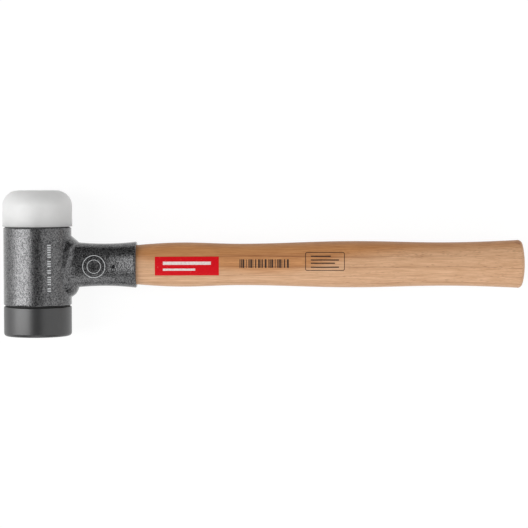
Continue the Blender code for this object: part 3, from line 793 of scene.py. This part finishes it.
# %% White face
WASHER_PLAY = 0.15 * MM
NYLON_EDGE = 12.0 * MM
NYLON_RIM_EDGE = 0.4 * MM
NYLON_EDGE_SEGMENTS = 24
NYLON_RIM = heights("nylon_face_washer")[1] + WASHER_PLAY
NYLON_TOP = heights("nylon_face")[1]
NYLON_RADIUS = radius_of("nylon_face")
profile = spigot_profile("nylon", NYLON_RIM)
profile += [(NYLON_RADIUS, NYLON_RIM, NYLON_RIM_EDGE), (NYLON_RADIUS, NYLON_TOP, NYLON_EDGE),
            (0, NYLON_TOP, 0)]
white_face = shape_object("white_face", turned(profile, segments=NYLON_EDGE_SEGMENTS))
combined(white_face, "UNION", thread_ridge("nylon", MALE_TURNS))
dressed(white_face, NYLON, "nylon_face", "nylon", "nylon_face")

# %% [markdown]
# ## Dark polyurethane face
# The soft face is cast polyurethane round a rigid core that widens inside it. Cast rubbery plastic
# has an even satin skin with a hint of orange peel.

# %% Polyurethane finish and face
PU_CLOUD = 6 * MM
PEEL_SIZE = 0.8 * MM
PEEL_HEIGHT = 0.03 * MM


def cast_polyurethane():
    """Dark satin plastic, very slightly cloudy, with a hint of orange peel."""
    material, tree, shader, coords = new_finish("dark_polyurethane", Roughness=0.36, IOR=1.7)
    cloud = add_node(tree, "TexNoise", {"Vector": coords, "Scale": 1 / PU_CLOUD, "Detail": 4.0})
    tone = add_node(tree, "ValToRGB", {"Fac": cloud}, [(0.3, "#262627"), (0.7, "#2a2a2b")])
    peel = add_node(tree, "TexNoise", {"Vector": coords, "Scale": 1 / PEEL_SIZE, "Detail": 2.0})
    bump = add_node(tree, "Bump", {"Height": peel, "Strength": 0.25, "Distance": PEEL_HEIGHT})
    fill(tree, shader, {"Base Color": tone, "Normal": bump})
    return material


POLYURETHANE = cast_polyurethane()
PU_TREAD, PU_RIM = heights("pu_face")
PU_RADIUS = radius_of("pu_face")
CORE_DEEP = heights("pu_face_core")[0]
CORE_RADIUS = 17.5 * MM
CORE_FLARE = 1.5 * MM
PU_EDGE = 2.4 * MM
PU_RIM_EDGE = 0.7 * MM
PU_EDGE_SEGMENTS = 8
profile = [(0, CORE_DEEP - FIT_GAP, 0), (CORE_RADIUS + CORE_FLARE + FIT_GAP, CORE_DEEP - FIT_GAP, 0),
           (CORE_RADIUS + FIT_GAP, PU_RIM, 0), (PU_RADIUS, PU_RIM, PU_RIM_EDGE),
           (PU_RADIUS, PU_TREAD, PU_EDGE), (0, PU_TREAD, 0)]
dark_face = shape_object("dark_face", turned(profile, segments=PU_EDGE_SEGMENTS))
dressed(dark_face, POLYURETHANE, "pu_face", "polyurethane", "pu_face")

# %% [markdown]
# ## Small parts of the head
# A moulded core carries the dark face's thread. Black rubber washers seal both faces, steel plugs
# close the shot chamber, open spring rings hold the plugs, and a steel pin locks the handle.

# %% Finishes of the small parts
def speckled(name, dark, light, grit, depth, **sockets):
    """A finish with a fine two-tone grit and a bump of the same grit."""
    material, tree, shader, coords = new_finish(name, **sockets)
    grain = add_node(tree, "TexNoise", {"Vector": coords, "Scale": 1 / grit, "Detail": 3.0})
    tone = add_node(tree, "ValToRGB", {"Fac": grain}, [(0.35, dark), (0.65, light)])
    bump = add_node(tree, "Bump", {"Height": grain, "Strength": 0.3, "Distance": depth})
    fill(tree, shader, {"Base Color": tone, "Normal": bump})
    return material


RUBBER = speckled("black_rubber", "#141414", "#1c1c1d", 0.6 * MM, 0.03 * MM, Roughness=0.65)
CORE_PLASTIC = speckled("moulded_core_plastic", "#c6c3bb", "#cfccc5", 2.0 * MM, 0.02 * MM, Roughness=0.45)
STEEL = speckled("turned_steel", "#a3a4a6", "#b4b5b7", 0.8 * MM, 0.01 * MM,
                 Roughness=0.32, Metallic=1.0)
# Blackened steel for the spring rings and the pin. On the pin it also paints the shade of the hole at its
# ends.
BLACKENED_STEEL_AND_PIN_SHADE = speckled("blackened_steel_and_pin_shade", "#3a3a3d", "#47474a", 0.5 * MM, 0.01 * MM,
                        Roughness=0.4, Metallic=1.0)
SHOT_STEEL = speckled("tumbled_shot_steel", "#8f9092", "#a9aaac", 0.9 * MM, 0.02 * MM,
                      Roughness=0.3, Metallic=1.0)
print("made five finishes")

# %% Core, washers and plugs
SMALL_SEGMENTS = 3
SMALL_EDGE = 0.15 * MM
PLUG_FLOOR_GAP = 0.8 * MM
EXTRA_TURNS = 1.5
FEMALE_TURNS = MALE_TURNS + EXTRA_TURNS
profile = spigot_profile("pu", PU_RIM)
profile += [(CORE_RADIUS, PU_RIM, 0), (CORE_RADIUS + CORE_FLARE, CORE_DEEP, 0), (0, CORE_DEEP, 0)]
core = shape_object("face_core", turned(profile, segments=SMALL_SEGMENTS))
combined(core, "UNION", thread_ridge("pu", MALE_TURNS))
dressed(core, CORE_PLASTIC, "pu_face", "core_plastic", "pu_face_core")

for name, (side, _) in SIDES.items():
    low, high = heights(name + "_face_washer")
    outer = radius_of(name + "_face_washer")
    inner = THREAD_RADIUS + FIT_GAP
    profile = [(inner, low, SMALL_EDGE), (outer, low, SMALL_EDGE), (outer, high, SMALL_EDGE),
               (inner, high, SMALL_EDGE)]
    washer = shape_object(name + "_washer", turned(profile, closed=True, segments=SMALL_SEGMENTS))
    dressed(washer, RUBBER, name + "_washer", "rubber", name + "_face_washer")

    inner_end, rim = sorted(heights(name + "_end_plug"), key=abs)
    floor_height = spigot_end(name) - side * PLUG_FLOOR_GAP
    outer = radius_of(name + "_end_plug")
    bore = ROOT_RADIUS + FIT_GAP
    profile = [(0, inner_end, 0), (outer, inner_end, SMALL_EDGE), (outer, rim, SMALL_EDGE),
               (bore, rim, 0), (bore, floor_height, 0), (0, floor_height, 0)]
    plug = shape_object(name + "_plug", turned(profile, segments=SMALL_SEGMENTS))
    combined(plug, "DIFFERENCE", thread_ridge(name, FEMALE_TURNS, FIT_GAP))
    dressed(plug, STEEL, "head", "steel", name + "_end_plug")

# %% Spring rings
RING_WIDTH = 3.4 * MM
RING_OPENING = math.radians(40)
for name in SIDES:
    low, high = heights(name + "_end_ring")
    outer = radius_of(name + "_end_ring")
    bm = bmesh.new()
    corners = [(outer - RING_WIDTH, low), (outer, low), (outer, high), (outer - RING_WIDTH, high)]
    section = bm.faces.new([bm.verts.new((radius, 0, height)) for radius, height in corners])
    half_open = Matrix.Rotation(RING_OPENING / 2, 3, "Z")
    bmesh.ops.rotate(bm, verts=bm.verts, cent=(0, 0, 0), matrix=half_open)
    bmesh.ops.spin(bm, geom=[section], cent=(0, 0, 0), axis=(0, 0, 1), angle=math.tau - RING_OPENING,
                   steps=ROUND_SEGMENTS)
    bmesh.ops.recalc_face_normals(bm, faces=bm.faces)
    ring = shape_object(name + "_spring_ring", bm)
    dressed(ring, BLACKENED_STEEL_AND_PIN_SHADE, "head", "spring_steel", name + "_end_ring")

# %% Pin and shot
PIN_EDGE = 0.2 * MM
# The pin's dark ends are blackened steel and also painted shade, standing in for the dark hole seen at
# each end.
pin = cross_rod("cross_pin", PIN_RADIUS, PIN_LENGTH, PIN_EDGE, SMALL_SEGMENTS)
dressed(pin, BLACKENED_STEEL_AND_PIN_SHADE, "head", "spring_steel", "handle_pin")
balls = sorted(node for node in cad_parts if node.startswith("shot_ball"))
for node in balls:
    low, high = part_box(node)
    bm = bmesh.new()
    bmesh.ops.create_icosphere(bm, subdivisions=4, radius=(high.z - low.z) / 2)
    ball = shape_object(node.replace("shot_ball", "shot"), bm, Matrix.Translation((low + high) / 2))
    dressed(ball, SHOT_STEEL, "shot", "shot_steel", node, sharp=180)

# %% [markdown]
# ## Printed marks
# The prints are plain: a red band with two stripes, a block of bars and an outlined panel with lines
# on the handle, a double ring on the collar and a row of dashes on the tube. On the real object they
# are thin films of ink. Each one is drawn flat above the hammer and dropped onto the surface with a
# Shrinkwrap modifier, so it follows the curve underneath and stands a few hundredths of a millimetre
# proud. Over wood, worn spots of ink show the same grain nodes as the handle.

# %% Ink finishes
BLOT_SIZE = 1.2 * MM


def ink(name, colour, faded, wood=False, **sockets):
    """A thin print, a little uneven. On wood it lets some of the grain through."""
    material, tree, shader, coords = new_finish(name, Roughness=0.42, **sockets)
    blots = add_node(tree, "TexNoise", {"Vector": coords, "Scale": 1 / BLOT_SIZE, "Detail": 3.0})
    printed = add_node(tree, "ValToRGB", {"Fac": blots}, [(0.4, colour), (0.75, faded)])
    if wood:
        grain = hickory_colour(tree, coords)[0]
        worn = add_node(tree, "MapRange",
                        {"Value": blots, "From Min": 0.68, "From Max": 0.78, "To Max": 0.5})
        printed = add_node(tree, "Mix", {0: worn, MIX_A: printed, MIX_B: grain},
                           data_type="RGBA").outputs[MIX_RESULT]
    fill(tree, shader, {"Base Color": printed})
    return material


RED_INK = ink("red_transfer_ink", "#d60013", "#de0f1d", wood=True, Specular_IOR_Level=0.2)
WHITE_INK = ink("white_transfer_ink", "#f0e6e2", "#e2c9c4")
BROWN_INK = ink("burnt_brown_ink", "#2c1b12", "#4c3121", wood=True)
PALE_INK = ink("pale_grey_ink", "#d6d8d9", "#babcbe")
print("made four inks")

# %% Flat drawings and how they are dropped
FILM = 0.04 * MM
ABOVE = AXIS_Z + 40 * MM
FILM_STEP = 1.2 * MM
OUTLINE_POINTS = 64
OUTLINE_CUTS = 16


def add_bar(bm, left, right, low, high):
    """A bar in mm along the handle from the head's axis and up from the handle's axis."""
    columns = max(1, round((right - left) * MM / FILM_STEP))
    rows = max(1, round((high - low) * MM / FILM_STEP))
    made = bmesh.ops.create_grid(bm, size=0.5, x_segments=columns, y_segments=rows)["verts"]
    bmesh.ops.scale(bm, verts=made, vec=((right - left) * MM, (high - low) * MM, 1))
    middle = Vector((left + right, low + high, 0)) * MM / 2
    bmesh.ops.translate(bm, verts=made, vec=middle + Vector((HEAD_X, HANDLE_Y, ABOVE)))


def add_outline(bm, along, up, radius, line, spread=(0, 0)):
    """A ring round a place in mm. Spread moves its quarters apart to make a rounded panel."""
    rim = bmesh.ops.create_circle(bm, radius=radius * MM, segments=OUTLINE_POINTS)["verts"]
    half_step = Matrix.Rotation(math.pi / OUTLINE_POINTS, 3, "Z")
    bmesh.ops.rotate(bm, verts=rim, cent=(0, 0, 0), matrix=half_step)
    edges = list({edge for vert in rim for edge in vert.link_edges})
    grown = bmesh.ops.extrude_edge_only(bm, edges=edges)["geom"]
    inner = [part for part in grown if isinstance(part, bmesh.types.BMVert)]
    share = (radius - line) / radius
    bmesh.ops.scale(bm, verts=inner, vec=(share, share, 1))
    for vert in rim + inner:
        vert.co.x += math.copysign(spread[0] * MM, vert.co.x)
        vert.co.y += math.copysign(spread[1] * MM, vert.co.y)
    bmesh.ops.translate(bm, verts=rim + inner,
                        vec=Vector((HEAD_X + along * MM, HANDLE_Y + up * MM, ABOVE)))
    sides = [edge for edge in bm.edges if edge.calc_length() > 2 * FILM_STEP]
    bmesh.ops.subdivide_edges(bm, edges=sides, cuts=OUTLINE_CUTS, use_grid_fill=True)


def film(name, bm, carrier, material, height=FILM):
    """Drop a flat drawing onto its carrier and leave it there as a film of ink."""
    obj = shape_object(name, bm, Matrix.Identity(4))
    drop = obj.modifiers.new("drop", "SHRINKWRAP")
    drop.target = carrier
    drop.wrap_method = "PROJECT"
    drop.use_project_z = True
    drop.use_positive_direction = False
    drop.use_negative_direction = True
    drop.offset = height
    return dressed(settled(obj), material, "head", None)


print("a film of ink stands", FILM / MM, "mm proud")

# %% Marks on the handle
# Bars are given in mm as left, right, low and high.
BAND = (89.0, 136.9, -7.75, 6.35)
STRIPES = [(95.0, 130.9, 0.25, 2.65), (95.0, 119.2, -4.15, -2.55)]
BAR_COUNT = 21
BAR_UNIT = 0.45
BARS_LEFT = 152.3
BARS_LOW = -2.15
BARS_HIGH = 4.25
PANEL_MIDDLE = (216.3, 2.55)
PANEL_CORNER = 1.6
PANEL_LINE = 0.5
PANEL_SPREAD = (13.2, 5.4)
LINES_LEFT = 205.7
HALF_LINE = 0.45
LINES = [(6.45, 15.0), (3.65, 21.0), (1.25, 18.0), (-1.75, 21.0)]

bm = bmesh.new()
add_bar(bm, *BAND)
film("red_band", bm, handle, RED_INK)

bm = bmesh.new()
for stripe in STRIPES:
    add_bar(bm, *stripe)
film("white_stripes", bm, handle, WHITE_INK, 2 * FILM)

# Widths and gaps only follow the count, so the bars have no meaning.
bm = bmesh.new()
left = BARS_LEFT
for count in range(BAR_COUNT):
    width = BAR_UNIT * (1 + count * 7 % 3)
    add_bar(bm, left, left + width, BARS_LOW, BARS_HIGH)
    left += width + BAR_UNIT * (1 + count * 5 % 4 // 2 * 2)
film("bar_block", bm, handle, BROWN_INK)

bm = bmesh.new()
add_outline(bm, *PANEL_MIDDLE, PANEL_CORNER, PANEL_LINE, PANEL_SPREAD)
for up, length in LINES:
    add_bar(bm, LINES_LEFT, LINES_LEFT + length, up - HALF_LINE, up + HALF_LINE)
film("outlined_panel", bm, handle, BROWN_INK)

# %% Marks on the head
RING_MIDDLE = (43.4, -0.95)
RING_LINES = [(8.5, 0.42), (5.2, 0.38)]
DASH_LEFT = 10.1
DASH_RIGHT = 12.5
DASH_HEIGHT = 0.9
DASH_PITCH = 1.75
DASH_GAP = 1.5
DASH_GROUPS = (2, 4, 2, 3, 6)
DASHES_LOW = -19.1

bm = bmesh.new()
for radius, line in RING_LINES:
    add_outline(bm, *RING_MIDDLE, radius, line)
film("double_ring", bm, housing, PALE_INK)

bm = bmesh.new()
low = DASHES_LOW
for group in DASH_GROUPS:
    for _ in range(group):
        add_bar(bm, DASH_LEFT, DASH_RIGHT, low, low + DASH_HEIGHT)
        low += DASH_PITCH
    low += DASH_GAP
film("dash_row", bm, housing, PALE_INK)

# %% [markdown]
# ## Floor, light and camera
# The hammer lies on a white table. A large lamp on the left makes the bright band down the head, and
# a low wall beside it lights the head's left edge. A broad pale wall on the right lifts the other
# side, and a card beyond the handle's lower edge lights the wood. The camera's side stays dark, which
# leaves the dark stripe in the middle of the head.

# %% Floor
FLOOR_SIZE = 30.0


def white_table():
    """White paper to every light, and nearly white with a faint shadow to the eye."""
    material = bpy.data.materials.new("white_table")
    material.use_nodes = True
    tree = material.node_tree
    tree.nodes.clear()
    path = add_node(tree, "LightPath")
    seen = add_node(tree, "Math", {0: path.outputs["Is Camera Ray"], 1: path.outputs["Is Glossy Ray"]},
                    operation="MAXIMUM")
    seen = add_node(tree, "Math", {0: seen, 1: path.outputs["Is Transmission Ray"]},
                    operation="MAXIMUM")
    paper = add_node(tree, "BsdfDiffuse", {"Color": linear("#e8e8e8")})
    shadow = add_node(tree, "BsdfDiffuse", {"Color": (0.14, 0.14, 0.14, 1)})
    glow = add_node(tree, "Emission", {"Color": (1, 1, 1, 1), "Strength": 0.9})
    lit = add_node(tree, "AddShader", {0: shadow, 1: glow})
    surface = add_node(tree, "MixShader", {0: seen, 1: paper, 2: lit})
    add_node(tree, "OutputMaterial", {"Surface": surface})
    return material


bm = bmesh.new()
bmesh.ops.create_grid(bm, x_segments=1, y_segments=1, size=FLOOR_SIZE / 2)
table = shape_object("table", bm, Matrix.Identity(4))
table.data.materials.append(white_table())
print("table is", FLOOR_SIZE, "m wide")

# %% Lamps and world
LAMP_DISTANCE = 3.0
AIM = Vector((0, 0, AXIS_Z))


def softbox(name, over, aside, width, height, radiance):
    """A lamp that looks at the hammer from degrees towards the handle and towards the white face.

    Its power follows from its radiance and its size, where a radiance of 1 is as bright as white paper.
    """
    direction = Vector((math.tan(math.radians(over)), math.tan(math.radians(aside)), 1)).normalized()
    data = bpy.data.lights.new(name, "AREA")
    data.shape = "RECTANGLE"
    data.size = width
    data.size_y = height
    data.energy = math.pi * width * height * radiance
    lamp = bpy.data.objects.new(name, data)
    bpy.context.collection.objects.link(lamp)
    lamp.location = AIM + direction * LAMP_DISTANCE
    lamp.rotation_euler = direction.to_track_quat("Z", "Y").to_euler()
    lamp.visible_camera = False
    return lamp


softbox("left_lamp", over=-47.8, aside=0, width=1.5, height=2.9, radiance=4.5)
softbox("left_wall", over=-83, aside=0, width=2.4, height=1.1, radiance=1.75)
softbox("right_wall", over=53, aside=0, width=4.2, height=4.4, radiance=1.0)
softbox("lower_card", over=0, aside=-55, width=2.4, height=2.8, radiance=1.3)

world = bpy.data.worlds.new("studio")
bpy.context.scene.world = world
world.use_nodes = True
tree = world.node_tree
path = add_node(tree, "LightPath")
strength = add_node(tree, "MapRange",
                    {"Value": path.outputs["Is Camera Ray"], "To Min": 0.1, "To Max": 1.0})
fill(tree, tree.nodes["Background"], {"Color": (1, 1, 1, 1), "Strength": strength})

# %% Camera
CAMERA_DISTANCE = 1.4
CAMERA_TILT = math.radians(2.4)
CAMERA_ROLL = math.radians(-0.12)
CAMERA_TARGET = Vector((HEAD_X + 170.8 * MM, HANDLE_Y + 0.27 * MM, AXIS_Z))
LENS = 126.6
camera_data = bpy.data.cameras.new("camera")
camera_data.lens = LENS
camera_data.sensor_width = 36.0
camera_data.clip_start = 0.01
camera = bpy.data.objects.new("camera", camera_data)
bpy.context.collection.objects.link(camera)
camera_direction = Vector((0, math.sin(CAMERA_TILT), math.cos(CAMERA_TILT)))
camera.location = CAMERA_TARGET + CAMERA_DISTANCE * camera_direction
camera.rotation_euler = (-CAMERA_TILT, 0, CAMERA_ROLL)
bpy.context.scene.camera = camera
bpy.context.scene.view_settings.view_transform = "Standard"
print("camera at", [round(c, 3) for c in camera.location])
